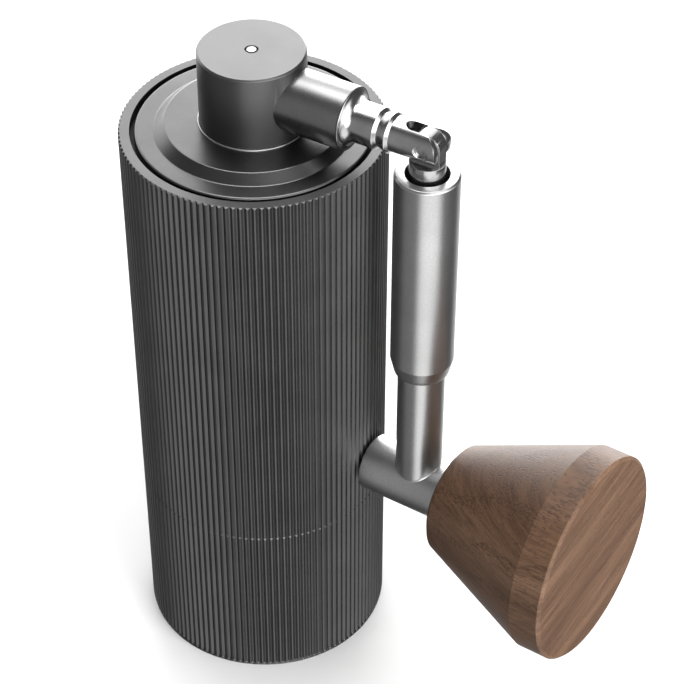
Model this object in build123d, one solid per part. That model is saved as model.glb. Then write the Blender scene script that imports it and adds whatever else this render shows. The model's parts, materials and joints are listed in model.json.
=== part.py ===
from build123d import *
import math
import os

# A slim hand coffee grinder with a folding crank. Sizes are in millimetres.
# The origin is the middle of the base, +Z is up, and the arm hangs folded on the +X side.

# Body and catch cup
BODY_D = 46.0  # across the ridges of the flutes
BODY_H = 112.0  # rim above the table
CUP_H = 35.2  # parting line above the table
FLUTES = 123
FLUTE_DEPTH = 0.35
RIDGE_SHARE = 0.3  # flat ridge as a share of the flute pitch
SHELL_WALL = 1.5
LINER_WALL = 1.65
NECK_DROP = 8.2  # threaded neck below the parting line
NECK_STEP = 0.25  # the neck is this much smaller than the liner in radius
CUP_FLOOR = 2.4

# Lid
LID_GAP = 1.05  # dark ring between the lid and the rim
LID_FLAT = 3.45  # flat outer ring of the lid
LID_SLOPE = 1.8  # width of the slope up to the plateau
LID_STEP = 1.5  # height of the plateau above the rim
LID_EDGE = 2.6  # thickness of the lid's edge
LID_PLATE = 3.4  # thickness of the lid in the middle
LID_PLUG = 8.0  # skirt depth below the rim
LID_SKIRT_INSET = 1.0  # skirt radius inside the lid's edge
LID_SKIRT = 1.6  # skirt wall
SEAL_H = 2.4

# Crank hub
HUB_D = 18.42
HUB_RISE = 13.95  # hub top above the plateau
HUB_CHAMFER = 0.3
BOSS_D = 11.0
BOSS_REACH = 19.2  # boss end face from the main axis
BOSS_RISE = 6.8  # boss axis above the plateau
STEM_D = 10.0
STEM_DROP = 6.0  # stem end below the lid's seat
BUSH_WALL = 1.4
CLIP_T = 0.8  # thickness of the spring clips
CLIP_DEPTH = 0.5  # groove depth under a clip
CLIP_STAND = 0.9  # how far a clip stands out of its groove
CLIP_OPENING = 2.4
PIN_CAP_D = 1.6
PIN_CAP_RING_D = 2.35
PIN_CAP_RING_DEPTH = 0.5
PIN_CAP_L = 5.0

# Fork and hinge
FORK_STEM_D = 7.2
FORK_NECK_D = 5.9
FORK_COLLAR_D = 7.1
FORK_END_D = 6.04
FORK_STEM_DEPTH = 8.0  # fork shaft inside the boss
FORK_STEM_FROM_PIN = 8.7  # shoulders of stem and collar, back from the hinge pin
FORK_COLLAR_FROM_PIN = 6.45
FORK_BEVEL_L = 0.5
FORK_ROOT_R = 0.9  # hollow round from the boss up onto the shaft
FORK_ROOT_STEPS = 4
SLOT_CLEAR = 1.25  # slot end clear of the tongue's eye
TONGUE_T = 2.4
HINGE_PIN_D = 2.1
HINGE_PIN_RECESS = 0.5
HINGE_SINK = 0.3  # countersink round the hinge pin
EYE_WALL = 1.65  # wall of the tongue's eye round its pin

# Arm
ARM_GAP = 4.74  # between the body and the folded sleeve
SLEEVE_D = 11.14
SLEEVE_BORE_D = 7.56
SLEEVE_L = 39.7
SLEEVE_CHAMFER = 0.35
SLEEVE_CONE_L = 2.9
SLEEVE_TIP_D = 9.78
ROD_D = 8.33
MOUTH_DROP = 5.7  # sleeve mouth below the hinge pin
ARM_DROP = 76.2  # cross tube axis below the hinge pin
SLIDER_D = 6.2
SLIDER_SHOULDER = 3.2  # from the pin to the round rod
SLIDER_L = 25.2  # round rod below its shoulder
SLIDER_HEAD_D = 7.1
SLIDER_HEAD_T = 1.6
STOP_RING_L = 3.4
BORE_FLOOR = 1.0  # sleeve bore ends this far above its tip

# Cross tube and knob
CROSS_D = 10.6
CROSS_CHAMFER = 0.25
KNOB_SWING = -4.5  # degrees that the arm is turned on its rod
KNOB_TILT = 2.0  # degrees that the knob's outer end stands above level
KNOB_FROM_ARM = 7.5  # small end of the knob from the arm's axis
KNOB_SMALL_D = 19.74
KNOB_BIG_D = 38.6
KNOB_CONE_L = 23.6
KNOB_BAND_L = 5.93
KNOB_EASE = 1.0  # eased corner at the small end
KNOB_EDGE = 0.49
SPINDLE_D = 6.0
SPINDLE_ROOT_D = 4.4
SPINDLE_ROOT_L = 10.0
KNOB_SLEEVE_WALL = 1.7
KNOB_SLEEVE_L = 16.0
SPINDLE_HEAD_T = 1.6
SPINDLE_HEAD_STAND = 1.2  # head radius past the spindle's
KNOB_GAP = 0.4  # between the cross tube and the knob

# Drive shaft, bearings and burrs
SHAFT_D = 6.0
SHAFT_FLATS = 5.0
SHAFT_TAIL = 9.0  # shaft below the cone burr
HEX_AF = 5.0  # drive hexagon across its flats
HEX_L = 7.5
BEARING_D = 13.0
BEARING_H = 5.0
BEARING_LEDGE = 1.3  # ledge in the spider's tube that a bearing seats on
SPIDER_WALL = 1.3
SPIDER_ARM_W = 3.0
SPIDER_ARM_H = 6.0
SPIDER_ARMS = 3
SPIDER_TURN = 60.0  # degrees from the folded arm to the first spider arm
SPIDER_FROM_STEM = 6.0  # tube top below the hub's stem
BURR_SETBACK = 11.0  # ring burr above the neck's end
RING_BURR_H = 12.0
BURR_STEP = 0.8  # step in the liner that the ring burr seats on
RING_BURR_WALL = 4.2
RING_BURR_TEETH = 18
RING_TOOTH = 1.0
RING_TAPER = 2.8  # mouth narrower at the top than at the bottom
BURR_GAP = 0.4
CONE_BURR_H = 14.0
CONE_TOP_D = 15.0
CONE_TEETH = 10
CONE_TOOTH = 1.5
CONE_TWIST = 28.0
RING_TWIST = 12.0
BURR_STAGES = 2  # flat stages along each twisted tooth
SPRING_D = 8.6  # mean diameter of the coil
SPRING_WIRE = 0.9
SPRING_TURNS = 3
SPRING_STEPS = 18  # flat stages in each turn
SPRING_POCKET_D = 11.0
SPRING_POCKET_DEPTH = 8.6
DIAL_D = 22.0
DIAL_H = 6.0
DIAL_NOTCHES = 24
DIAL_NOTCH = 0.8

# Clearances
SEAT_GAP = 0.02  # pieces that are pressed or glued together
RUN_GAP = 0.04  # shafts in their bores
SLIDE_GAP = 0.1  # flat faces that slide on each other
THREAD_GAP = 0.25  # where a thread is cut
SEAL_GAP = 0.05
AIR_GAP = 0.35  # moving pieces that pass each other
SPRING_END_GAP = 0.06  # the coil's ends tilt a little
SPRING_CLEAR_LEAST = 0.4  # between turns

# Radii and heights that follow from the sizes above
BODY_R = BODY_D / 2
SHELL_BORE = BODY_R - SHELL_WALL
LINER_R = SHELL_BORE - SEAT_GAP
LINER_BORE = LINER_R - LINER_WALL
HOPPER_R = LINER_BORE - BURR_STEP
NECK_R = LINER_R - NECK_STEP
NECK_Z = CUP_H - NECK_DROP
SEAT_Z = BODY_H - LID_PLUG
LID_R = SHELL_BORE - LID_GAP
SKIRT_R = LID_R - LID_SKIRT_INSET
PLATEAU_Z = BODY_H + LID_STEP
PLATE_Z = PLATEAU_Z - LID_PLATE
STEM_R = STEM_D / 2
STEM_Z = SEAT_Z - STEM_DROP
BUSH_R = STEM_R + RUN_GAP + BUSH_WALL
PIN_Z = PLATEAU_Z + BOSS_RISE
ARM_X = BODY_R + ARM_GAP + SLEEVE_D / 2
CROSS_Z = PIN_Z - ARM_DROP
MOUTH_Z = PIN_Z - MOUTH_DROP
SHOULDER_Z = PIN_Z - SLIDER_SHOULDER
SLIDER_END_Z = SHOULDER_Z - SLIDER_L
EYE_R = HINGE_PIN_D / 2 + EYE_WALL
SHAFT_R = SHAFT_D / 2
RING_Z = NECK_Z + BURR_SETBACK
RING_TOP = RING_Z + RING_BURR_H
RING_R = LINER_BORE - SEAT_GAP
RING_MOUTH = RING_R - RING_BURR_WALL
CONE_Z = RING_Z - BURR_GAP
CONE_TOP = CONE_Z + CONE_BURR_H
SPIDER_Z = CONE_TOP + AIR_GAP
TUBE_R = BEARING_D / 2 + SPIDER_WALL
TUBE_TOP = STEM_Z - SPIDER_FROM_STEM
POCKET_Z = CONE_TOP - SPRING_POCKET_DEPTH


def turned(profile):
    """Solid turned about Z from (radius, height) points."""
    return revolve(Plane.XZ * make_face(Polyline(*profile, close=True)), Axis.Z)


def tube(outer, inner, low, high):
    """Plain ring between two heights."""
    return turned([(inner, low), (outer, low), (outer, high), (inner, high)])


def rod(radius, low, high):
    """Plain round bar along Z."""
    return Pos(0, 0, low) * extrude(Circle(radius), high - low)


def clip(groove_radius, low):
    """Spring clip that sits in a groove, open on the -X side."""
    reach = groove_radius + CLIP_DEPTH + CLIP_STAND
    ring = tube(reach, groove_radius + SEAT_GAP, low, low + CLIP_T)
    return ring - Pos(-reach, 0, low) * Box(2 * reach, CLIP_OPENING, 4 * CLIP_T)


def fluted_outline():
    """Outer outline of body and cup: flat ridges with V grooves between them."""
    pitch = 2 * math.pi / FLUTES
    corners = []
    for index in range(FLUTES):
        start = index * pitch
        ridge_end = start + RIDGE_SHARE * pitch
        groove = (ridge_end + start + pitch) / 2
        for angle, radius in ((start, BODY_R), (ridge_end, BODY_R), (groove, BODY_R - FLUTE_DEPTH)):
            corners.append((radius * math.cos(angle), radius * math.sin(angle)))
    return make_face(Polyline(*corners, close=True))


def round_z(radius, degrees, height):
    """Point at an angle about the main axis."""
    angle = math.radians(degrees)
    return Vector(radius * math.cos(angle), radius * math.sin(angle), height)


def star(teeth, tip, root, turn, height):
    """Corners of a toothed outline at one height."""
    radii = [tip, root] * teeth
    return [round_z(radius, turn + index * 180 / teeth, height) for index, radius in enumerate(radii)]


def faceted(rings):
    """Solid with flat triangles from ring to ring of corners, closed at both ends."""
    faces = [Face(Wire.make_polygon(ring)) for ring in (rings[0], rings[-1])]
    for low, high in zip(rings, rings[1:]):
        for index in range(len(low)):
            faces.append(Face(Wire.make_polygon([low[index - 1], low[index], high[index]])))
            faces.append(Face(Wire.make_polygon([low[index - 1], high[index], high[index - 1]])))
    return Solid(Shell(faces))


def along_x(shape, x, z):
    """Piece made about Z, laid along +X from the point (x, 0, z)."""
    return Pos(x, 0, z) * Rot(0, 90, 0) * shape


def at_pin(shape, turn=90):
    """Piece made about Z, laid across the fork at the hinge pin."""
    return Pos(ARM_X, 0, PIN_Z) * Rot(turn, 0, 0) * shape


def on_arm(shape):
    """Piece made about Z, laid along the cross tube from the arm's axis."""
    return Pos(ARM_X, 0, CROSS_Z) * Rot(0, 0, KNOB_SWING) * Rot(0, 90 - KNOB_TILT, 0) * shape


def body_shell():
    outline = fluted_outline() - Circle(SHELL_BORE)
    return Pos(0, 0, CUP_H) * extrude(outline, BODY_H - CUP_H)


def body_liner():
    return turned(
        [
            (LINER_BORE, NECK_Z),
            (NECK_R, NECK_Z),
            (NECK_R, CUP_H),
            (LINER_R, CUP_H),
            (LINER_R, SEAT_Z),
            (HOPPER_R, SEAT_Z),
            (HOPPER_R, RING_TOP),
            (LINER_BORE, RING_TOP),
        ]
    )


def catch_cup():
    return extrude(fluted_outline(), CUP_H) - rod(NECK_R + THREAD_GAP, CUP_FLOOR, CUP_H)


def lid():
    slope_foot = LID_R - LID_FLAT
    plateau = slope_foot - LID_SLOPE
    return turned(
        [
            (BUSH_R + SEAT_GAP, PLATE_Z),
            (SKIRT_R - LID_SKIRT, PLATE_Z),
            (SKIRT_R - LID_SKIRT, SEAT_Z),
            (SKIRT_R, SEAT_Z),
            (SKIRT_R, BODY_H - LID_EDGE),
            (LID_R, BODY_H - LID_EDGE),
            (LID_R, BODY_H),
            (slope_foot, BODY_H),
            (plateau, PLATEAU_Z),
            (BUSH_R + SEAT_GAP, PLATEAU_Z),
        ]
    )


def lid_seal():
    top = BODY_H - LID_EDGE
    return tube(SHELL_BORE - SEAL_GAP, SKIRT_R + SEAT_GAP, top - SEAL_H, top)


def lid_bush():
    return tube(BUSH_R, STEM_R + RUN_GAP, PLATE_Z, PLATEAU_Z)


def crank_hub():
    radius = HUB_D / 2
    top = PLATEAU_Z + HUB_RISE
    low = PLATEAU_Z + SLIDE_GAP
    groove_top = PLATE_Z - SLIDE_GAP
    groove_low = groove_top - CLIP_T - SEAT_GAP
    hub = turned(
        [
            (0, STEM_Z),
            (STEM_R, STEM_Z),
            (STEM_R, groove_low),
            (STEM_R - CLIP_DEPTH, groove_low),
            (STEM_R - CLIP_DEPTH, groove_top),
            (STEM_R, groove_top),
            (STEM_R, low),
            (radius, low),
            (radius, top - HUB_CHAMFER),
            (radius - HUB_CHAMFER, top),
            (0, top),
        ]
    )
    hub += along_x(rod(BOSS_D / 2, 0, BOSS_REACH), 0, PIN_Z)
    hub -= along_x(rod(FORK_STEM_D / 2 + SEAT_GAP, BOSS_REACH - FORK_STEM_DEPTH, BOSS_REACH), 0, PIN_Z)
    hub -= rod(PIN_CAP_D / 2 + SEAT_GAP, top - PIN_CAP_L, top)
    hub -= rod(PIN_CAP_RING_D / 2, top - PIN_CAP_RING_DEPTH, top)
    socket = RegularPolygon(HEX_AF / 2 + SLIDE_GAP, 6, major_radius=False)
    return hub - Pos(0, 0, STEM_Z) * extrude(socket, HEX_L + AIR_GAP)


def hub_pin():
    top = PLATEAU_Z + HUB_RISE
    return rod(PIN_CAP_D / 2, top - PIN_CAP_L, top)


def hub_clip():
    low = PLATE_Z - SLIDE_GAP - CLIP_T - SEAT_GAP / 2
    return clip(STEM_R - CLIP_DEPTH, low)


def fork_shaft():
    pin = ARM_X - (BOSS_REACH - FORK_STEM_DEPTH)
    shoulder = pin - FORK_STEM_FROM_PIN
    collar = pin - FORK_COLLAR_FROM_PIN
    radius = FORK_END_D / 2
    stem = FORK_STEM_D / 2
    seat = FORK_STEM_DEPTH + SEAT_GAP
    hollow = []
    for step in range(FORK_ROOT_STEPS + 1):
        angle = math.radians(90 * step / FORK_ROOT_STEPS)
        rise = 1 - math.cos(angle)
        hollow.append((stem + FORK_ROOT_R * (1 - math.sin(angle)), seat + FORK_ROOT_R * rise))
    shaft = turned(
        [
            (0, 0),
            (stem, 0),
            (stem, seat),
            *hollow,
            (stem, shoulder),
            (FORK_NECK_D / 2, shoulder + FORK_BEVEL_L),
            (FORK_COLLAR_D / 2, collar),
            (radius, collar + FORK_BEVEL_L),
            (radius, pin + radius),
            (0, pin + radius),
        ]
    )
    shaft = along_x(shaft, BOSS_REACH - FORK_STEM_DEPTH, PIN_Z)
    corner = Pos(ARM_X + FORK_END_D / 2, 0, PIN_Z) * Box(FORK_END_D, 2 * FORK_END_D, 2 * FORK_END_D)
    shaft -= corner - at_pin(Cylinder(radius, 3 * FORK_END_D))
    width = TONGUE_T + 2 * SLIDE_GAP
    slot_from_pin = EYE_R + SLOT_CLEAR
    slot_l = slot_from_pin + FORK_END_D
    slot = SlotCenterPoint((slot_l / 2, 0), (slot_l - width / 2, 0), width)
    shaft -= Pos(ARM_X - slot_from_pin, 0, PIN_Z) * extrude(slot, FORK_END_D, both=True)
    hole = HINGE_PIN_D / 2 + SEAT_GAP
    low = radius - HINGE_SINK
    high = radius + HINGE_SINK
    sink = turned([(0, 0), (hole, 0), (hole, low), (hole + 2 * HINGE_SINK, high), (0, high)])
    return shaft - at_pin(sink) - at_pin(sink, -90)


def hinge_pin():
    return at_pin(Cylinder(HINGE_PIN_D / 2, FORK_END_D - 2 * HINGE_PIN_RECESS))


def tongue_slider():
    radius = SLIDER_D / 2
    tongue = at_pin(Cylinder(EYE_R, TONGUE_T))
    tongue += Pos(ARM_X, 0, PIN_Z - SLIDER_SHOULDER / 2) * Box(2 * EYE_R, TONGUE_T, SLIDER_SHOULDER)
    tongue += Pos(ARM_X, 0, 0) * turned(
        [
            (0, SHOULDER_Z),
            (radius, SHOULDER_Z),
            (radius, SLIDER_END_Z),
            (SLIDER_HEAD_D / 2, SLIDER_END_Z),
            (SLIDER_HEAD_D / 2, SLIDER_END_Z - SLIDER_HEAD_T),
            (0, SLIDER_END_Z - SLIDER_HEAD_T),
        ]
    )
    return tongue - at_pin(Cylinder(HINGE_PIN_D / 2 + RUN_GAP, 2 * TONGUE_T))


def cross_bar(clearance=0.0):
    """Outside of the cross tube, from just clear of the body to just short of the knob."""
    lean = CROSS_D / 2 * math.sin(math.radians(KNOB_TILT))
    low = BODY_R + AIR_GAP + lean - ARM_X
    high = KNOB_FROM_ARM - KNOB_GAP
    radius = CROSS_D / 2 + clearance
    return turned(
        [
            (0, low),
            (radius - CROSS_CHAMFER, low),
            (radius, low + CROSS_CHAMFER),
            (radius, high - CROSS_CHAMFER),
            (radius - CROSS_CHAMFER, high),
            (0, high),
        ]
    )


def cross_tube():
    end = KNOB_FROM_ARM - KNOB_GAP
    root = rod(SPINDLE_ROOT_D / 2 + SEAT_GAP, end - SPINDLE_ROOT_L, end)
    return on_arm(cross_bar() - root)


def arm_tube():
    radius = SLEEVE_D / 2
    sleeve_end = MOUTH_Z - SLEEVE_L
    tip = sleeve_end - SLEEVE_CONE_L
    outside = turned(
        [
            (0, CROSS_Z),
            (ROD_D / 2, CROSS_Z),
            (ROD_D / 2, tip),
            (SLEEVE_TIP_D / 2, tip),
            (radius, sleeve_end),
            (radius, MOUTH_Z - SLEEVE_CHAMFER),
            (radius - SLEEVE_CHAMFER, MOUTH_Z),
            (0, MOUTH_Z),
        ]
    )
    bore = rod(SLEEVE_BORE_D / 2, tip + BORE_FLOOR, MOUTH_Z)
    return Pos(ARM_X, 0, 0) * (outside - bore) - on_arm(cross_bar(SEAT_GAP))


def arm_stop_ring():
    low = SLIDER_END_Z + SLIDE_GAP
    ring = tube(SLEEVE_BORE_D / 2 - SEAT_GAP, SLIDER_D / 2 + RUN_GAP, low, low + STOP_RING_L)
    return Pos(ARM_X, 0, 0) * ring


def spindle_end():
    """Far end of the spindle's head from the arm's axis."""
    return KNOB_FROM_ARM + KNOB_SLEEVE_L + SLIDE_GAP + SPINDLE_HEAD_T


def knob():
    small = KNOB_SMALL_D / 2
    big = KNOB_BIG_D / 2
    bore = SPINDLE_D / 2 + RUN_GAP + KNOB_SLEEVE_WALL + SEAT_GAP
    cone_end = KNOB_FROM_ARM + KNOB_CONE_L
    face = cone_end + KNOB_BAND_L
    side = math.hypot(big - small, KNOB_CONE_L)
    ease_out = KNOB_EASE * (big - small) / side
    ease_along = KNOB_EASE * KNOB_CONE_L / side
    solid = turned(
        [
            (bore, KNOB_FROM_ARM),
            (small - KNOB_EASE, KNOB_FROM_ARM),
            (small + ease_out, KNOB_FROM_ARM + ease_along),
            (big, cone_end),
            (big, face - KNOB_EDGE),
            (big - KNOB_EDGE, face),
            (0, face),
            (0, spindle_end() + AIR_GAP),
            (bore, spindle_end() + AIR_GAP),
        ]
    )
    return on_arm(solid)


def knob_sleeve():
    inner = SPINDLE_D / 2 + RUN_GAP
    low = KNOB_FROM_ARM - KNOB_GAP + SLIDE_GAP
    return on_arm(tube(inner + KNOB_SLEEVE_WALL, inner, low, KNOB_FROM_ARM + KNOB_SLEEVE_L))


def knob_spindle():
    end = KNOB_FROM_ARM - KNOB_GAP
    root = SPINDLE_ROOT_D / 2
    radius = SPINDLE_D / 2
    head = spindle_end() - SPINDLE_HEAD_T
    spindle = turned(
        [
            (0, end - SPINDLE_ROOT_L),
            (root, end - SPINDLE_ROOT_L),
            (root, end),
            (radius, end),
            (radius, head),
            (radius + SPINDLE_HEAD_STAND, head),
            (radius + SPINDLE_HEAD_STAND, spindle_end()),
            (0, spindle_end()),
        ]
    )
    return on_arm(spindle)


def bearing_spider():
    spider = rod(TUBE_R, SPIDER_Z, TUBE_TOP)
    half = SPIDER_ARM_W / 2
    reach = HOPPER_R - SEAT_GAP
    roof = [
        (-half, 0),
        (half, 0),
        (half, SPIDER_ARM_H - half),
        (0, SPIDER_ARM_H),
        (-half, SPIDER_ARM_H - half),
    ]
    arm = Pos(0, 0, SPIDER_Z) * extrude(Plane.YZ * make_face(Polyline(*roof, close=True)), HOPPER_R)
    for index in range(SPIDER_ARMS):
        spider += Rot(0, 0, SPIDER_TURN + index * 360 / SPIDER_ARMS) * arm
    spider &= rod(reach, SPIDER_Z, TUBE_TOP)
    seat = BEARING_D / 2 + SEAT_GAP
    spider -= rod(BEARING_D / 2 - BEARING_LEDGE, SPIDER_Z, TUBE_TOP)
    spider -= rod(seat, SPIDER_Z, SPIDER_Z + BEARING_H)
    return spider - rod(seat, TUBE_TOP - BEARING_H, TUBE_TOP)


def bearing(low):
    """Sealed bearing, one ring."""
    return tube(BEARING_D / 2, SHAFT_R + RUN_GAP, low, low + BEARING_H)


def drive_shaft():
    low = CONE_Z - SHAFT_TAIL
    groove = TUBE_TOP + SLIDE_GAP
    shaft = turned(
        [
            (0, low),
            (SHAFT_R, low),
            (SHAFT_R, groove),
            (SHAFT_R - CLIP_DEPTH, groove),
            (SHAFT_R - CLIP_DEPTH, groove + CLIP_T + SEAT_GAP),
            (SHAFT_R, groove + CLIP_T + SEAT_GAP),
            (SHAFT_R, STEM_Z),
            (0, STEM_Z),
        ]
    )
    flat_l = SPIDER_Z - low
    for side in (1, -1):
        flat = Pos(0, side * (SHAFT_FLATS / 2 + SHAFT_R), low + flat_l / 2)
        shaft -= flat * Box(2 * SHAFT_D, SHAFT_D, flat_l)
    hexagon = RegularPolygon(HEX_AF / 2, 6, major_radius=False)
    return shaft + Pos(0, 0, STEM_Z) * extrude(hexagon, HEX_L)


def shaft_clip():
    return clip(SHAFT_R - CLIP_DEPTH, TUBE_TOP + SLIDE_GAP + SEAT_GAP / 2)


def ring_burr():
    rings = []
    for stage in range(BURR_STAGES + 1):
        share = stage / BURR_STAGES
        tip = RING_MOUTH - share * RING_TAPER
        height = RING_Z + share * RING_BURR_H
        rings.append(star(RING_BURR_TEETH, tip + RING_TOOTH, tip, -share * RING_TWIST, height))
    return rod(RING_R, RING_Z, RING_TOP) - faceted(rings)


def cone_burr():
    rings = []
    bottom = RING_MOUTH - BURR_GAP
    for stage in range(BURR_STAGES + 1):
        share = stage / BURR_STAGES
        tip = bottom + share * (CONE_TOP_D / 2 - bottom)
        height = CONE_Z + share * CONE_BURR_H
        rings.append(star(CONE_TEETH, tip, tip - CONE_TOOTH, share * CONE_TWIST, height))
    cone = faceted(rings) - rod(SPRING_POCKET_D / 2, POCKET_Z, CONE_TOP)
    keyed = Circle(SHAFT_R + RUN_GAP) & Rectangle(2 * SHAFT_D, SHAFT_FLATS + 2 * RUN_GAP)
    return cone - Pos(0, 0, CONE_Z) * extrude(keyed, CONE_BURR_H)


def burr_spring():
    """Square wire coil, between the cone burr's pocket and the lower bearing."""
    half = SPRING_WIRE / 2
    low = POCKET_Z + half + SPRING_END_GAP
    pitch = (SPIDER_Z - half - SPRING_END_GAP - low) / SPRING_TURNS
    print("spring: gap between turns", round(pitch - SPRING_WIRE, 2), "mm, wanted over", SPRING_CLEAR_LEAST)
    corners = ((-half, -half), (half, -half), (half, half), (-half, half))
    rings = []
    for step in range(SPRING_TURNS * SPRING_STEPS + 1):
        turns = step / SPRING_STEPS
        rings.append([round_z(SPRING_D / 2 + x, 360 * turns, low + pitch * turns + z) for x, z in corners])
    return faceted(rings)


def adjust_dial():
    radius = DIAL_D / 2
    corners = star(DIAL_NOTCHES, radius, radius - DIAL_NOTCH, 0, CONE_Z - DIAL_H)
    rim = extrude(make_face(Polyline(*corners, close=True)), DIAL_H)
    return rim - rod(SHAFT_R + RUN_GAP, CONE_Z - DIAL_H, CONE_Z)


NODES = {
    "body_shell": body_shell(),
    "body_liner": body_liner(),
    "bearing_spider": bearing_spider(),
    "upper_bearing": bearing(TUBE_TOP - BEARING_H),
    "lower_bearing": bearing(SPIDER_Z),
    "ring_burr": ring_burr(),
    "cone_burr": cone_burr(),
    "burr_spring": burr_spring(),
    "drive_shaft": drive_shaft(),
    "shaft_clip": shaft_clip(),
    "adjust_dial": adjust_dial(),
    "catch_cup": catch_cup(),
    "lid": lid(),
    "lid_seal": lid_seal(),
    "lid_bush": lid_bush(),
    "crank_hub": crank_hub(),
    "hub_pin": hub_pin(),
    "hub_clip": hub_clip(),
    "fork_shaft": fork_shaft(),
    "hinge_pin": hinge_pin(),
    "tongue_slider": tongue_slider(),
    "arm_tube": arm_tube(),
    "arm_stop_ring": arm_stop_ring(),
    "cross_tube": cross_tube(),
    "knob_spindle": knob_spindle(),
    "knob_sleeve": knob_sleeve(),
    "knob": knob(),
}

os.makedirs("parts", exist_ok=True)
for node, solid in NODES.items():
    export_step(solid, f"parts/{node}.step")
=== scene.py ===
import json
import math

import bmesh
import bpy
from mathutils import Matrix, Vector


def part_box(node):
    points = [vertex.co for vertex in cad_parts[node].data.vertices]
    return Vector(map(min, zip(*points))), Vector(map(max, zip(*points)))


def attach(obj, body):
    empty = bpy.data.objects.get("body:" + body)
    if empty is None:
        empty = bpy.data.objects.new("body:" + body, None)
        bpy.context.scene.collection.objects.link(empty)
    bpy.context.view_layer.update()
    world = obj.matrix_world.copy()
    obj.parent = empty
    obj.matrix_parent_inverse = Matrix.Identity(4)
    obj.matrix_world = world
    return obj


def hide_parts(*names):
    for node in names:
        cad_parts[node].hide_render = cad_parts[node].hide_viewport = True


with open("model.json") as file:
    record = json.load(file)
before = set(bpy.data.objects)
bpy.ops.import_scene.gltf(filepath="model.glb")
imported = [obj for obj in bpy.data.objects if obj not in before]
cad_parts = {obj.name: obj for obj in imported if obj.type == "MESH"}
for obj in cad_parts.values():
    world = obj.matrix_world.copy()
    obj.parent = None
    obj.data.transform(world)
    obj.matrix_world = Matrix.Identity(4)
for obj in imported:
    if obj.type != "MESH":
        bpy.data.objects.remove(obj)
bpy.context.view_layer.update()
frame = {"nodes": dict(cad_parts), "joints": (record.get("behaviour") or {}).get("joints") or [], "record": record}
NODES = frame["nodes"]
MM = 0.001

# In metres: a length below TINY counts as nothing, and points closer than MERGE are one point
TINY = 1e-7
MERGE = 0.001 * MM
KEY_DIGITS = 6

# Camera, fitted to the photograph
CAMERA_PLACE = Vector((0.170817, -0.266043, 0.341158))
CAMERA_AIM = Vector((-0.37533, 0.65009, -0.66068))
CAMERA_LENS = 120.885
CAMERA_NEAR = 0.01
SENSOR = 36.0

# Metals and plastics: reach of the roughness below and above its middle, and sizes of the patterns
BLASTED_GLOSS = (-0.05, 0.07)
TURNED_GLOSS = (-0.04, 0.06)
MOULDED_GLOSS = (-0.06, 0.06)
BROAD_GRAINS = 40
BROAD_LIFT = 0.25
GROOVE_STRETCH = 0.04
PATCH_WAVES = 300.0

# Walnut: linear colours, turns of the grain in the knob's frame, and waves per metre along its axes
WOOD_DARK = (0.063, 0.033, 0.02)
WOOD_MIDDLE = (0.09, 0.05, 0.03)
WOOD_LIGHT = (0.124, 0.071, 0.044)
WOOD_PORE = (0.03, 0.015, 0.009)
# Lighter colour at the rim: partly rubbed wood, partly a painted highlight along the edge
WOOD_WORN_HIGHLIGHT = (0.3, 0.19, 0.13)
STREAK_DARK = (0.55, 0.53, 0.51)
STREAK_LIGHT = (1.24, 1.24, 1.24)
FIBRE_TILT = math.radians(-7)
RING_TURN = math.radians(20)
RING_WAVES = 57.0
RING_STRETCH = (0.3, 1, 1)
BAND_WAVES = (14, 170, 30)
FIBRE_WAVES = (110, 2600, 180)
PORE_WAVES = (2300, 5800, 1000)
# Patches of the lighter rim, partly rubbed wood and partly painted highlight
WEAR_HIGHLIGHT_WAVES = (300, 300, 300)
PORE_GATHER = 0.13
PORE_DEPTH = 0.03 * MM
# Width and strength of the lighter rim, partly rubbed wood and partly painted highlight
WEAR_HIGHLIGHT_WIDTH = 0.25 * MM
WEAR_HIGHLIGHT_MOST = 0.3
WOOD_GLOSS = (0.42, 0.6)

# Flutes of body and cup: (share of the pitch, share of the depth below the ridge) round one flute
FLUTES = 123
FLUTE_DEPTH = 0.35 * MM
FLUTE_FORM = (
    (0.0, 0.12),
    (0.04, 0.0),
    (0.26, 0.0),
    (0.3, 0.12),
    (0.45, 0.6),
    (0.59, 0.94),
    (0.65, 1.0),
    (0.71, 0.94),
    (0.85, 0.6),
)

# Ends of the fluted pieces: facets as (inward run, fall) and the rows that hold the shading beside
# them, the cup's plain foot, and the lip inside the body's rim
EDGE_BREAK = 0.1 * MM
RIM_FACET = (0.3 * MM, 0.3 * MM * math.tan(math.radians(24)))
SEAM_FACET = (0.17 * MM, 0.17 * MM / math.tan(math.radians(27)))
FACET_SHARES = (0.0, 0.35, 0.7, 1.0)
HOLD = 0.06 * MM
CUP_FOOT_EDGE = 0.2 * MM
CUP_FOOT_BAND = 0.3 * MM
RIM_LIP = 0.4 * MM
LIP_DEPTH = 0.8 * MM

# Turned pieces: edge radii, the share of a corner's shorter side that a radius may take, steps of
# an eased corner, and how much narrower the lid is than in the CAD
LID_EDGE = 0.4 * MM
CROSS_EDGE = 0.1 * MM
ARM_EDGE = 0.12 * MM
KNOB_EDGE = 0.1 * MM
KNOB_SMALL_EDGE = 0.8 * MM
KNOB_SMALL_END = 2 * MM
SIDE_SHARE = 0.35
ARC_STEPS = 4
LID_TRIM = 0.18 * MM

# Segments round the turned pieces
LID_SEGMENTS = 192
KNOB_SEGMENTS = 160
HUB_RING_SEGMENTS = 160
ARM_SEGMENTS = 128
BOSS_SEGMENTS = 128
WELD_SEGMENTS = 128
CROSS_SEGMENTS = 96

# Broken edges of the milled pieces, and the shading of all finer pieces
HUB_BREAK = 0.15 * MM
FORK_BREAK = 0.12 * MM
PIN_BREAK = 0.35 * MM
BEVEL_SEGMENTS = 2
BEVEL_ANGLE = math.radians(28)
SMOOTH_ANGLE = math.radians(32)
FLAT_WEIGHT = 100

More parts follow.
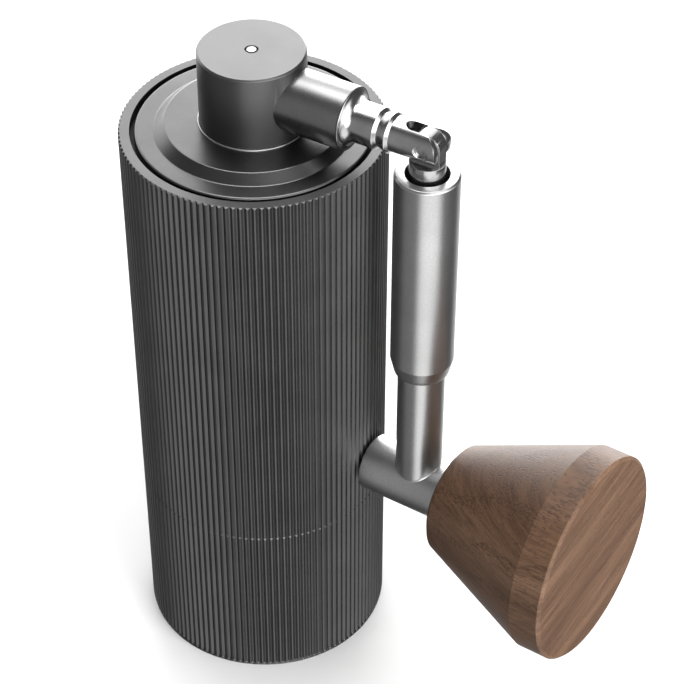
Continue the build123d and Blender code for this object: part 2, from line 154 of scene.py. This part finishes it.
# Nose of the fork's cheeks, from the hinge: reach, height of the rounded part, how far its top
# draws back, and the sizes below which points and edges are cleared away
NOSE_REACH = 2.58 * MM
NOSE_RISE = 2.9 * MM
NOSE_DRAW = 3.1 * MM
NOSE_MERGE = 0.01 * MM
NOSE_LEAST = 0.005 * MM

# Boss: length of its skin, how proud it stands, its end's edge, how near to the end a point counts
# as on it, and the cove from there to the fork shaft
BOSS_SKIN = 14 * MM
BOSS_PROUD = 0.01 * MM
BOSS_EDGE = 0.2 * MM
BOSS_FACE_REACH = 0.01 * MM
BOSS_COVE = 1.9 * MM
COVE_OVERLAP = 0.04 * MM
COVE_STEPS = 12

# Ring on the lid round the foot of the hub, a bright ring that paints the highlight line at the hub's foot
HUB_RING_GAP = 0.04 * MM
HUB_RING_WIDE = 0.3 * MM
HUB_RING_HIGH = 0.3 * MM
HUB_RING_SINK = 0.1 * MM
HUB_RING_ROUND = 0.2 * MM

# Section of the weld in mm: (out from the rod, up from the cross tube)
WELD_FORM = ((-0.03, 0.2), (0.06, 0.17), (0.13, 0.08), (0.16, -0.02), (-0.03, -0.1))

# Studio. Soft boxes: direction, half angles of the full and the fading part in degrees, brightness
AMBIENT = 0.1
FILL = 0.3
SOFT_BOXES = (
    ((-0.42, 0.72, 0.55), 22, 46, 1.85),
    ((-0.1, 0.15, 0.98), 10, 26, 8.0),
    ((-0.93, 0.35, 0.1), 16, 34, 3.0),
    ((-0.38, 0.92, 0.1), 16, 34, 7.0),
    ((0.52, -0.57, -0.63), 18, 36, 1.5),
    ((-0.35, 0.62, -0.7), 20, 45, 0.9),
    ((-0.45, -0.85, 0.0), 15, 60, 0.28),
    ((0.8, -0.42, 0.42), 22, 40, 2.5),
    ((1.0, 0.0, 0.12), 16, 36, 2.4),
    ((0.49, -0.84, 0.22), 12, 30, 4.5),
)

# Lamps for the even light: name, place in metres, side in metres, watts
LAMPS = (
    ("top_box", (-0.2, 0.25, 1.4), 1.2, 13.5),
    ("right_box", (0.95, -0.22, 0.42), 0.7, 20),
)
LAMP_AIM = Vector((0.01, 0, 0.08))
FLOOR_HALF = 3.0
FLOOR_SINK = 0.02 * MM
FLOOR_GREY = (0.6, 0.62)
FLOOR_WAVES = 60.0

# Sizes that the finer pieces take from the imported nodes
BODY_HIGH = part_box("body_shell")[1]
CUP_LOW, CUP_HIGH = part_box("catch_cup")
BODY_R = BODY_HIGH.y
RIM_Z = BODY_HIGH.z
PART_Z = CUP_HIGH.z
CUP_HEIGHTS = [vertex.co.z for vertex in NODES["catch_cup"].data.vertices]
CUP_FLOOR = min(height for height in CUP_HEIGHTS if height > CUP_LOW.z + MM)
BOSS_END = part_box("crank_hub")[1].x


def node(tree, kind, inputs=None, **settings):
    """Adds a shader node; inputs are values or sockets, by socket name or number."""
    made = tree.nodes.new(kind)
    for name, value in settings.items():
        setattr(made, name, value)
    for name, value in (inputs or {}).items():
        if isinstance(value, bpy.types.NodeSocket):
            tree.links.new(value, made.inputs[name])
        else:
            made.inputs[name].default_value = value
    return made


def maths(tree, operation, *inputs):
    return node(tree, "ShaderNodeMath", dict(enumerate(inputs)), operation=operation).outputs[0]


def spread(tree, value, low, high, **limits):
    """A value carried from 0 to 1, or from other limits, to low to high."""
    inputs = {"Value": value, "To Min": low, "To Max": high}
    inputs.update({name.replace("_", " "): limit for name, limit in limits.items()})
    return node(tree, "ShaderNodeMapRange", inputs).outputs[0]


def mixed(tree, factor, first, second, blend="MIX"):
    """Colour between two; each is a socket or a plain colour."""
    inputs = {"Factor": factor, 6: first, 7: second}
    return node(tree, "ShaderNodeMix", inputs, data_type="RGBA", blend_type=blend).outputs[2]


def ramp(tree, factor, stops):
    """Colour ramp; stops are (place, grey or colour)."""
    made = node(tree, "ShaderNodeValToRGB", {"Fac": factor})
    elements = made.color_ramp.elements
    while len(elements) < len(stops):
        elements.new(0.5)
    for element, (place, colour) in zip(elements, stops):
        element.position = place
        element.color = (colour, colour, colour, 1) if isinstance(colour, float) else (*colour, 1)
    return made.outputs["Color"]


def noise(tree, place, scale, detail=2.0, roughness=0.5):
    """Noise over a place vector, in waves per metre."""
    inputs = {"Vector": place, "Scale": scale, "Detail": detail, "Roughness": roughness}
    return node(tree, "ShaderNodeTexNoise", inputs).outputs["Fac"]


def mapped(tree, place, **inputs):
    """Place vector that is turned or scaled."""
    return node(tree, "ShaderNodeMapping", {"Vector": place, **inputs}).outputs[0]


def object_place(tree):
    return node(tree, "ShaderNodeTexCoord").outputs["Object"]


def principled(name, **values):
    """New material and its Principled shader, with plain values set on the sockets."""
    material = bpy.data.materials.new(name)
    material.use_nodes = True
    shader = material.node_tree.nodes["Principled BSDF"]
    for key, value in values.items():
        shader.inputs[key.replace("_", " ")].default_value = value
    return material, material.node_tree, shader


def dress(tree, shader, colour, gloss, height, depth):
    """Feeds colour, roughness and a bump of a given depth to a shader."""
    tree.links.new(colour, shader.inputs["Base Color"])
    tree.links.new(gloss, shader.inputs["Roughness"])
    lift = node(tree, "ShaderNodeBump", {"Height": height, "Distance": depth, "Strength": 1.0})
    tree.links.new(lift.outputs["Normal"], shader.inputs["Normal"])


def blasted_metal(name, dark, light, rough, grain, depth):
    """Fine blasted metal: grain of a given size in metres changes colour, gloss and height."""
    material, tree, shader = principled(name, Metallic=1.0)
    place = object_place(tree)
    fine = noise(tree, place, 1 / grain, 3.0, 0.6)
    broad = noise(tree, place, 1 / (BROAD_GRAINS * grain))
    patches = maths(tree, "MULTIPLY_ADD", fine, broad, BROAD_LIFT)
    colour = ramp(tree, patches, [(0.3, dark), (0.75, light)])
    below, above = BLASTED_GLOSS
    dress(tree, shader, colour, spread(tree, fine, rough + below, rough + above), fine, depth)
    return material


def turned_metal(name, dark, light, rough, pitch, depth, axis):
    """Lathe-turned metal with fine rings about an axis: 0, 1 or 2 for X, Y or Z."""
    material, tree, shader = principled(name, Metallic=1.0)
    place = object_place(tree)
    stretch = [GROOVE_STRETCH / pitch] * 3
    stretch[axis] = 1 / pitch
    rings = noise(tree, mapped(tree, place, Scale=stretch), 1.0, 3.0, 0.6)
    patches = noise(tree, place, PATCH_WAVES)
    colour = ramp(tree, patches, [(0.3, dark), (0.7, light)])
    below, above = TURNED_GLOSS
    dress(tree, shader, colour, spread(tree, rings, rough + below, rough + above), rings, depth)
    return material


def moulded(name, dark, light, rough, grain, depth):
    """Moulded plastic or rubber with a fine grain."""
    material, tree, shader = principled(name)
    fine = noise(tree, object_place(tree), 1 / grain)
    colour = ramp(tree, fine, [(0.35, dark), (0.65, light)])
    below, above = MOULDED_GLOSS
    dress(tree, shader, colour, spread(tree, fine, rough + below, rough + above), fine, depth)
    return material


def walnut():
    """Oiled walnut cut from the solid, lighter at the rim: partly rubbed wood, partly a painted highlight along
    the edge.

    Fibres run level across the knob, and pores gather in rows by growth ring.
    """
    material, tree, shader = principled("walnut", Specular_IOR_Level=0.22)
    place = object_place(tree)
    grain = mapped(tree, place, Rotation=(0, 0, FIBRE_TILT))

    def layer(waves, detail, roughness=0.5):
        return noise(tree, mapped(tree, grain, Scale=waves), 1.0, detail, roughness)

    band = layer(BAND_WAVES, 3.0, 0.55)
    fibre = layer(FIBRE_WAVES, 4.0, 0.7)
    pore = layer(PORE_WAVES, 1.0)
    across = mapped(tree, grain, Rotation=(RING_TURN, 0, 0), Scale=RING_STRETCH)
    inputs = {"Vector": across, "Scale": RING_WAVES, "Distortion": 4.0}
    inputs.update({"Detail": 2.0, "Detail Scale": 1.0})
    ring = node(tree, "ShaderNodeTexWave", inputs, bands_direction="Y", wave_profile="SAW")
    row = ramp(tree, ring.outputs["Fac"], [(0.62, 0.0), (0.95, 1.0)])
    base = ramp(tree, band, [(0.3, WOOD_DARK), (0.5, WOOD_MIDDLE), (0.72, WOOD_LIGHT)])
    streak = ramp(tree, fibre, [(0.3, STREAK_DARK), (0.7, STREAK_LIGHT)])
    figured = mixed(tree, 1.0, base, streak, "MULTIPLY")
    gathered = maths(tree, "MULTIPLY_ADD", row, PORE_GATHER, pore)
    open_pore = ramp(tree, gathered, [(0.575, 0.0), (0.71, 0.64)])
    colour = mixed(tree, open_pore, figured, (*WOOD_PORE, 1))
    level = node(tree, "ShaderNodeVectorMath", {0: place, 1: (1, 1, 0)}, operation="MULTIPLY")
    length = {0: level.outputs[0]}
    radius = node(tree, "ShaderNodeVectorMath", length, operation="LENGTH").outputs["Value"]
    height = node(tree, "ShaderNodeSeparateXYZ", {0: place}).outputs["Z"]
    rim = maths(tree, "ADD", radius, height)
    # Lighter towards the rim's edge, in patches: partly rubbed wood, partly a painted highlight
    wear_and_highlight = spread(tree, rim, 0.0, WEAR_HIGHLIGHT_MOST, From_Min=KNOB_RIM - WEAR_HIGHLIGHT_WIDTH, From_Max=KNOB_RIM)
    patchy_wear_and_highlight = ramp(tree, layer(WEAR_HIGHLIGHT_WAVES, 3.0, 0.7), [(0.35, 0.05), (0.7, 0.6)])
    worn_and_highlit = mixed(tree, maths(tree, "MULTIPLY", wear_and_highlight, patchy_wear_and_highlight), colour, (*WOOD_WORN_HIGHLIGHT, 1))
    sunk = maths(tree, "SUBTRACT", 1.0, maths(tree, "MULTIPLY_ADD", fibre, 0.5, open_pore))
    dress(tree, shader, worn_and_highlit, spread(tree, fibre, *WOOD_GLOSS), sunk, PORE_DEPTH)
    return material


def put(mesh_object, body, material, slot, *replaced):
    """Places a finer piece on a body, in place of CAD nodes if any are named."""
    bpy.context.scene.collection.objects.link(mesh_object)
    mesh_object.data.materials.clear()
    mesh_object.data.materials.append(material)
    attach(mesh_object, body)
    if replaced:
        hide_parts(*replaced)


def eased(points, radii):
    """Profile whose corners become arcs; radii are by corner number."""
    corners = [Vector(point) for point in points]
    count = len(corners)
    out = []
    for index, corner in enumerate(corners):
        radius = radii.get(index, 0.0)
        if not radius:
            out.append(corner)
            continue
        back = (corners[index - 1] - corner).normalized()
        ahead = (corners[(index + 1) % count] - corner).normalized()
        half = back.angle(ahead) / 2
        reach = radius / math.tan(half)
        middle = corner + (back + ahead).normalized() * (radius / math.sin(half))
        start = corner + back * reach - middle
        sweep = math.atan2(ahead.cross(back), -ahead.dot(back))
        for step in range(ARC_STEPS + 1):
            angle = sweep * step / ARC_STEPS
            out.append(middle + Matrix.Rotation(angle, 2) @ start)
    return [point for index, point in enumerate(out) if (point - out[index - 1]).length > MERGE]


def ring_of(work, angles, radii, height):
    return [
        work.verts.new((radius * math.cos(angle), radius * math.sin(angle), height))
        for angle, radius in zip(angles, radii)
    ]


def join(work, here, there, segments):
    """Faces between two rings; a ring may be one point."""
    if len(here) == 1 and len(there) == 1:
        return
    for index in range(segments):
        after = (index + 1) % segments
        if len(here) == 1:
            work.faces.new((here[0], there[after], there[index]))
        elif len(there) == 1:
            work.faces.new((here[index], here[after], there[0]))
        else:
            work.faces.new((here[index], here[after], there[after], there[index]))


def finish_mesh(name, work):
    """Object of a bmesh, shaded smooth up to an angle."""
    bmesh.ops.recalc_face_normals(work, faces=work.faces)
    for face in work.faces:
        face.smooth = True
    mesh = bpy.data.meshes.new(name)
    work.to_mesh(mesh)
    work.free()
    mesh.set_sharp_from_angle(angle=SMOOTH_ANGLE)
    return bpy.data.objects.new(name, mesh)


def flat_shaded(made):
    """Flats keep their own shading beside eased edges."""
    flats = made.modifiers.new("flats", "WEIGHTED_NORMAL")
    flats.keep_sharp = False
    flats.weight = FLAT_WEIGHT
    return made


def lathe(name, profile, segments):
    """Closed profile of (radius, height) turned about Z."""
    work = bmesh.new()
    angles = [2 * math.pi * index / segments for index in range(segments)]
    rings = []
    for radius, height in profile:
        if radius < TINY:
            rings.append([work.verts.new((0, 0, height))])
        else:
            rings.append(ring_of(work, angles, [radius] * segments, height))
    for here, there in zip(rings, rings[1:] + rings[:1]):
        join(work, here, there, segments)
    return flat_shaded(finish_mesh(name, work))


def softened(name, source, width, reshape=None):
    """Copy of a CAD node with its sharp edges broken, as on the real piece."""
    work = bmesh.new()
    work.from_mesh(NODES[source].data)
    bmesh.ops.remove_doubles(work, verts=work.verts, dist=MERGE)
    if reshape:
        reshape(work)
    made = finish_mesh(name, work)
    bevel = made.modifiers.new("edges", "BEVEL")
    bevel.width = width
    bevel.segments = BEVEL_SEGMENTS
    bevel.limit_method = "ANGLE"
    bevel.angle_limit = BEVEL_ANGLE
    bevel.use_clamp_overlap = True
    return flat_shaded(made)


def round_nose(work):
    """Draws the ends of the fork's cheeks back to a nose that is rounder at the top."""
    for vertex in work.verts:
        rise = vertex.co.z - HINGE.z
        share = min(max(rise, 0) / NOSE_RISE, 1)
        limit = HINGE.x + NOSE_REACH - NOSE_DRAW * (1 - math.sqrt(1 - share**2))
        vertex.co.x = min(vertex.co.x, limit)
    bmesh.ops.remove_doubles(work, verts=work.verts, dist=NOSE_MERGE)
    bmesh.ops.dissolve_degenerate(work, edges=work.edges, dist=NOSE_LEAST)


def profile_of(name, into=Matrix.Identity(4), above=-math.inf):
    """(radius, height) corners of a turned CAD node, in order along its outline, in its own frame.

    An outline that is open at the axis, between two flat ends, is carried on to the axis.
    """
    mesh = NODES[name].data
    keys = []
    for vertex in mesh.vertices:
        point = into @ vertex.co
        keys.append((round(point.xy.length, KEY_DIGITS), round(point.z, KEY_DIGITS)))
    links = {}
    for edge in mesh.edges:
        start, end = (keys[index] for index in edge.vertices)
        if start != end and min(start[1], end[1]) > above:
            links.setdefault(start, set()).add(end)
            links.setdefault(end, set()).add(start)
    here = min(links, key=lambda key: (len(links[key]), key[1], -key[0]))
    order = [here]
    while True:
        ahead = [key for key in links[here] if key not in order]
        if not ahead:
            break
        here = ahead[0]
        order.append(here)
    if order[0] in links[here]:
        return order
    return [(0.0, order[0][1])] + order + [(0.0, here[1])]


def corner_radii(profile, radius):
    """An edge radius for each corner, limited by the sides next to it."""
    count = len(profile)
    radii = {}
    for index in range(count):
        corner = Vector(profile[index])
        before = (Vector(profile[index - 1]) - corner).length
        after = (Vector(profile[(index + 1) % count]) - corner).length
        shorter = min(before, after)
        if corner.x > 0 and shorter > 0:
            radii[index] = min(radius, SIDE_SHARE * shorter)
    return radii


def turned_piece(
    name, source, body, material, slot, radius, segments, into=Matrix.Identity(4), trim=0.0
):
    """Smooth copy of a turned CAD node with its edges eased and its widest part trimmed."""
    profile = profile_of(source, into)
    widest = max(corner[0] for corner in profile) - trim
    profile = [(min(corner[0], widest), corner[1]) for corner in profile]
    piece = lathe(name, eased(profile, corner_radii(profile, radius)), segments)
    piece.matrix_world = into.inverted()
    put(piece, body, material, slot, source)


def joint_named(name):
    return next(joint for joint in frame["joints"] if joint["name"] == name)


# Hinge, and the frame of knob and cross tube: Z along the spindle, from the arm's axis
HINGE = Vector(joint_named("arm_fold")["pos_m"])
KNOB_PLACE = Vector(joint_named("knob_spin")["pos_m"])
KNOB_AXIS = Vector(joint_named("knob_spin")["axis"]).normalized()
KNOB_TURN = KNOB_AXIS.to_track_quat("Z", "Y").to_matrix().to_4x4()
KNOB_FRAME = Matrix.Translation(KNOB_PLACE) @ KNOB_TURN
INTO_KNOB = KNOB_FRAME.inverted()
KNOB_RIM = max(radius + height for radius, height in profile_of("knob", INTO_KNOB))
ARM_FRAME = Matrix.Translation((KNOB_PLACE.x, 0, 0))
CROSS_R = max(corner[0] for corner in profile_of("cross_tube", INTO_KNOB))
CROSS_Z = KNOB_PLACE.z


def fluted_piece(name, low, high, bore, floor, body, material, source):
    """Fluted tube between two heights with faceted ends.

    With a floor height it is a cup on a plain foot, and without one a body with a lip inside its rim.
    """
    angles, depths = [], []
    for flute in range(FLUTES):
        for share, depth in FLUTE_FORM:
            angles.append(2 * math.pi * (flute + share) / FLUTES)
            depths.append(depth * FLUTE_DEPTH)
    work = bmesh.new()
    count = len(angles)
    run, fall = SEAM_FACET if floor else RIM_FACET
    if floor:
        plain_end = low + CUP_FOOT_EDGE + CUP_FOOT_BAND
        rows = [(low, BODY_R - CUP_FOOT_EDGE), (low + CUP_FOOT_EDGE, BODY_R), (plain_end, BODY_R)]
        fluted_from = plain_end + CUP_FOOT_EDGE
        inside = [(high, bore), (floor, bore)]
    else:
        plain_end = -math.inf
        rows = [(low, BODY_R - EDGE_BREAK)]
        fluted_from = low + EDGE_BREAK
        lip = bore - RIM_LIP
        inside = [(high, lip), (high - LIP_DEPTH, lip), (high - LIP_DEPTH, bore), (low, bore)]
    top = high - fall
    rows += [(height, BODY_R) for height in (fluted_from, fluted_from + HOLD, top - HOLD)]
    rows += [(top + fall * share, BODY_R - run * share) for share in FACET_SHARES]
    rings = []
    for height, limit in rows:
        plain = height <= plain_end
        radii = [limit if plain else min(BODY_R - depth, limit) for depth in depths]
        rings.append(ring_of(work, angles, radii, height))
    for height, radius in inside:
        rings.append(ring_of(work, angles, [radius] * count, height))
    if floor:
        rings.append([work.verts.new((0, 0, floor))])
        rings.append([work.verts.new((0, 0, low))])
    for here, there in zip(rings, rings[1:] + rings[:1]):
        join(work, here, there, count)
    made = finish_mesh(name, work)
    points = made.data.vertices
    for edge in made.data.edges:
        if all(points[index].co.z > top - TINY for index in edge.vertices):
            edge.use_edge_sharp = True
    put(made, body, material, "dark_anodised", source)


def build_arm(material):
    """Sleeve and rod as one smooth turned piece; returns the rod's radius."""
    profile = profile_of("arm_tube", ARM_FRAME.inverted(), CROSS_Z + 2 * CROSS_R)
    profile = [corner for corner in profile if corner[0] > 0]
    if profile[0][0] < profile[-1][0]:
        profile.reverse()
    rod_r = profile[0][0]
    profile = [(0, CROSS_Z), (rod_r, CROSS_Z)] + profile + [(0, profile[-1][1])]
    piece = lathe("arm_turned", eased(profile, corner_radii(profile, ARM_EDGE)), ARM_SEGMENTS)
    piece.matrix_world = ARM_FRAME
    put(piece, "arm", material, "satin_steel", "arm_tube")
    return rod_r


def tube_top(spot):
    """Height of the tilted cross tube above its middle, at a level spot from the arm's axis."""
    along = spot.dot(KNOB_AXIS)
    steep = KNOB_AXIS.z
    flat = 1 - steep**2
    inside = (along * steep) ** 2 - flat * (spot.length_squared - along**2 - CROSS_R**2)
    return (along * steep + math.sqrt(inside)) / flat


def build_weld(rod_r, material):
    """Fine bead of weld along the line where the rod meets the cross tube."""
    work = bmesh.new()
    rings = []
    for step in range(WELD_SEGMENTS):
        angle = 2 * math.pi * step / WELD_SEGMENTS
        out = Vector((math.cos(angle), math.sin(angle), 0))
        ring = []
        for stand, rise in WELD_FORM:
            spot = out * (rod_r + stand * MM)
            height = CROSS_Z + tube_top(spot) + rise * MM
            ring.append(work.verts.new((spot.x, spot.y, height)))
        rings.append(ring)
    for here, there in zip(rings, rings[1:] + rings[:1]):
        join(work, here, there, len(WELD_FORM))
    piece = finish_mesh("arm_weld", work)
    piece.matrix_world = ARM_FRAME
    put(piece, "arm", material, "satin_steel")


def build_boss(skin, bright):
    """Smoother skin of the boss in a lighter copy of the hub's metal, whose extra brightness is a painted
    highlight, and the bright hollow round from its end to the fork shaft.
    """
    middle = Vector((BOSS_END, 0, HINGE.z))
    points = [vertex.co for vertex in NODES["crank_hub"].data.vertices]
    radii = [(point - middle).length for point in points if point.x > BOSS_END - BOSS_FACE_REACH]
    inner = min(radii) - COVE_OVERLAP
    outer = max(radii)
    end_r = outer - BOSS_EDGE
    skin_r = outer + BOSS_PROUD
    tube = [(end_r, -BOSS_SKIN), (skin_r, -BOSS_SKIN), (skin_r, -BOSS_EDGE), (end_r, 0)]
    face = [(inner, -BOSS_PROUD), (end_r, -BOSS_PROUD)]
    for step in range(COVE_STEPS + 1):
        angle = math.pi / 2 * step / COVE_STEPS
        radius = inner + (end_r - inner) * (1 - math.sin(angle))
        face.append((radius, BOSS_PROUD + BOSS_COVE * (1 - math.cos(angle))))
    for name, profile, material, slot in (
        ("boss_skin", tube, skin, "hub_anodised"),
        ("boss_face", face, bright, "polished_steel"),
    ):
        piece = lathe(name, profile, BOSS_SEGMENTS)
        piece.matrix_world = Matrix.Translation(middle) @ Matrix.Rotation(math.pi / 2, 4, "Y")
        put(piece, "crank", material, slot)


def build_foot_highlight_ring(material):
    """Thin ring of the lighter boss metal on the lid round the foot of the hub: a painted highlight line at the
    hub's foot.
    """
    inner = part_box("crank_hub")[1].y + HUB_RING_GAP
    outer = inner + HUB_RING_WIDE
    lid_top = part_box("lid")[1].z
    low = lid_top - HUB_RING_SINK
    high = lid_top + HUB_RING_HIGH
    profile = [(inner, low), (outer, low), (outer, high), (inner, high)]
    piece = lathe("hub_foot_highlight", eased(profile, {2: HUB_RING_ROUND}), HUB_RING_SEGMENTS)
    put(piece, "lid", material, "hub_anodised")


def build_knob(material):
    """Knob with crisp edges at the big end and a rounded small end."""
    profile = profile_of("knob", INTO_KNOB)
    radii = corner_radii(profile, KNOB_EDGE)
    small_end = min(corner[1] for corner in profile) + KNOB_SMALL_END
    for index, radius in corner_radii(profile, KNOB_SMALL_EDGE).items():
        if profile[index][1] < small_end:
            radii[index] = radius
    piece = lathe("knob_turned", eased(profile, radii), KNOB_SEGMENTS)
    piece.matrix_world = KNOB_FRAME
    put(piece, "knob", material, "walnut", "knob")


def build_materials():
    """Materials by name: dark and light colour, roughness, size of grain or rings, and their depth."""
    grain = 0.18 * MM
    return {
        "dark_anodised": blasted_metal("dark_anodised", 0.073, 0.101, 0.4, grain, 0.004 * MM),
        # Lighter copy of hub_anodised for the boss skin and the hub's foot ring: its lighter colour is a painted
        # highlight, its lower roughness a glossier surface
        "boss_satin_and_highlight": blasted_metal("boss_satin_and_highlight", 0.21, 0.27, 0.28, grain, 0.003 * MM),
        "lid_satin": blasted_metal("lid_satin", 0.075, 0.105, 0.3, grain, 0.003 * MM),
        "hub_anodised": blasted_metal("hub_anodised", 0.1, 0.13, 0.38, grain, 0.004 * MM),
        "bare_aluminium": turned_metal("bare_aluminium", 0.55, 0.64, 0.3, 0.08 * MM, 0.003 * MM, 2),
        "frame_plastic": moulded("frame_plastic", 0.012, 0.02, 0.5, 0.4 * MM, 0.01 * MM),
        "bearing_steel": turned_metal("bearing_steel", 0.5, 0.6, 0.22, 0.08 * MM, 0.002 * MM, 2),
        "burr_steel": turned_metal("burr_steel", 0.42, 0.52, 0.28, 0.1 * MM, 0.003 * MM, 2),
        "spring_steel": blasted_metal("spring_steel", 0.28, 0.38, 0.3, 0.3 * MM, 0.004 * MM),
        "polished_steel": turned_metal("polished_steel", 0.42, 0.5, 0.19, 0.1 * MM, 0.0003 * MM, 0),
        "satin_steel": blasted_metal("satin_steel", 0.4, 0.58, 0.3, 0.3 * MM, 0.014 * MM),
        "black_rubber": moulded("black_rubber", 0.008, 0.014, 0.7, 0.3 * MM, 0.01 * MM),
        "black_plastic": moulded("black_plastic", 0.01, 0.018, 0.5, 0.3 * MM, 0.008 * MM),
        "sleeve_brass": turned_metal("sleeve_brass", 0.5, 0.6, 0.25, 0.08 * MM, 0.002 * MM, 0),
        "walnut": walnut(),
    }


def build_camera():
    data = bpy.data.cameras.new("camera")
    data.sensor_fit = "HORIZONTAL"
    data.sensor_width = SENSOR
    data.lens = CAMERA_LENS
    data.clip_start = CAMERA_NEAR
    camera = bpy.data.objects.new("camera", data)
    camera.location = CAMERA_PLACE
    camera.rotation_euler = CAMERA_AIM.to_track_quat("-Z", "Y").to_euler()
    bpy.context.scene.collection.objects.link(camera)
    bpy.context.scene.camera = camera


def area_light(name, place, side, power):
    """Square soft box for the even light; the studio world gives the reflections."""
    data = bpy.data.lights.new(name, "AREA")
    data.shape = "RECTANGLE"
    data.size = side
    data.size_y = side
    data.energy = power
    light = bpy.data.objects.new(name, data)
    light.location = place
    light.rotation_euler = (LAMP_AIM - Vector(place)).to_track_quat("-Z", "Y").to_euler()
    light.visible_glossy = False
    bpy.context.scene.collection.objects.link(light)


def build_floor():
    mesh = bpy.data.meshes.new("floor")
    corners = [(x * FLOOR_HALF, y * FLOOR_HALF, 0) for x, y in ((-1, -1), (1, -1), (1, 1), (-1, 1))]
    mesh.from_pydata(corners, [], [(0, 1, 2, 3)])
    floor = bpy.data.objects.new("floor", mesh)
    floor.location.z = -FLOOR_SINK
    floor.visible_glossy = False
    bpy.context.scene.collection.objects.link(floor)
    material, tree, shader = principled("floor", Roughness=0.35)
    speck = noise(tree, object_place(tree), FLOOR_WAVES)
    dark, light = FLOOR_GREY
    tree.links.new(ramp(tree, speck, [(0.3, dark), (0.7, light)]), shader.inputs["Base Color"])
    mesh.materials.append(material)


def build_world():
    """Soft boxes on a dim sky, weaker for diffuse light, and plain white behind the object."""
    world = bpy.data.worlds.new("studio")
    world.use_nodes = True
    tree = world.node_tree
    background = tree.nodes["Background"]
    toward = node(tree, "ShaderNodeTexCoord").outputs["Generated"]
    total = AMBIENT
    for direction, inner, outer, brightness in SOFT_BOXES:
        axis = Vector(direction).normalized()
        facing = node(tree, "ShaderNodeVectorMath", {0: toward, 1: axis}, operation="DOT_PRODUCT")
        inputs = {
            "Value": facing.outputs["Value"],
            "From Min": math.cos(math.radians(outer)),
            "From Max": math.cos(math.radians(inner)),
            "To Min": 0.0,
            "To Max": brightness,
        }
        glow = node(tree, "ShaderNodeMapRange", inputs, interpolation_type="SMOOTHSTEP").outputs[0]
        total = maths(tree, "ADD", glow, total)
    paths = node(tree, "ShaderNodeLightPath").outputs
    share = spread(tree, paths["Is Diffuse Ray"], 1.0, FILL)
    tree.links.new(maths(tree, "MULTIPLY", total, share), background.inputs["Strength"])
    background.inputs["Color"].default_value = (1, 1, 1, 1)
    backdrop = node(tree, "ShaderNodeBackground", {"Color": (1, 1, 1, 1), "Strength": 1.0})
    shaders = {0: paths["Is Camera Ray"], 1: background.outputs[0], 2: backdrop.outputs[0]}
    shown = node(tree, "ShaderNodeMixShader", shaders)
    tree.links.new(shown.outputs[0], tree.nodes["World Output"].inputs["Surface"])
    bpy.context.scene.world = world


def build_stage():
    build_floor()
    build_world()
    bpy.context.scene.view_settings.view_transform = "Standard"
    for name, place, side, power in LAMPS:
        area_light(name, place, side, power)


def main():
    materials = build_materials()
    for entry in frame["record"]["subparts"]:
        cad = NODES[entry["node"]]
        cad.data.materials.clear()
        cad.data.materials.append(materials[entry["material_slot"]])
    dark, steel, lid = materials["dark_anodised"], materials["satin_steel"], materials["lid_satin"]
    build_knob(materials["walnut"])
    turned_piece(
        "cross_turned", "cross_tube", "arm", steel, "satin_steel", CROSS_EDGE, CROSS_SEGMENTS, INTO_KNOB
    )
    turned_piece(
        "lid_turned", "lid", "lid", lid, "dark_anodised", LID_EDGE, LID_SEGMENTS, trim=LID_TRIM
    )
    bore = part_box("body_liner")[1].x
    fluted_piece("body_fluted", PART_Z, RIM_Z, bore, None, "housing", dark, "body_shell")
    fluted_piece("cup_fluted", CUP_LOW.z, PART_Z, bore, CUP_FLOOR, "cup", dark, "catch_cup")
    build_weld(build_arm(steel), steel)
    for source, body, slot, width, reshape in (
        ("crank_hub", "crank", "hub_anodised", HUB_BREAK, None),
        ("fork_shaft", "crank", "polished_steel", FORK_BREAK, round_nose),
        ("tongue_slider", "slider", "polished_steel", FORK_BREAK, None),
        ("hinge_pin", "crank", "polished_steel", PIN_BREAK, None),
    ):
        put(softened(source + "_soft", source, width, reshape), body, materials[slot], slot, source)
    # Boss skin and foot ring take the lighter metal that paints their highlights
    build_boss(materials["boss_satin_and_highlight"], materials["polished_steel"])
    build_foot_highlight_ring(materials["boss_satin_and_highlight"])
    build_camera()
    build_stage()


main()
bpy.context.view_layer.update()
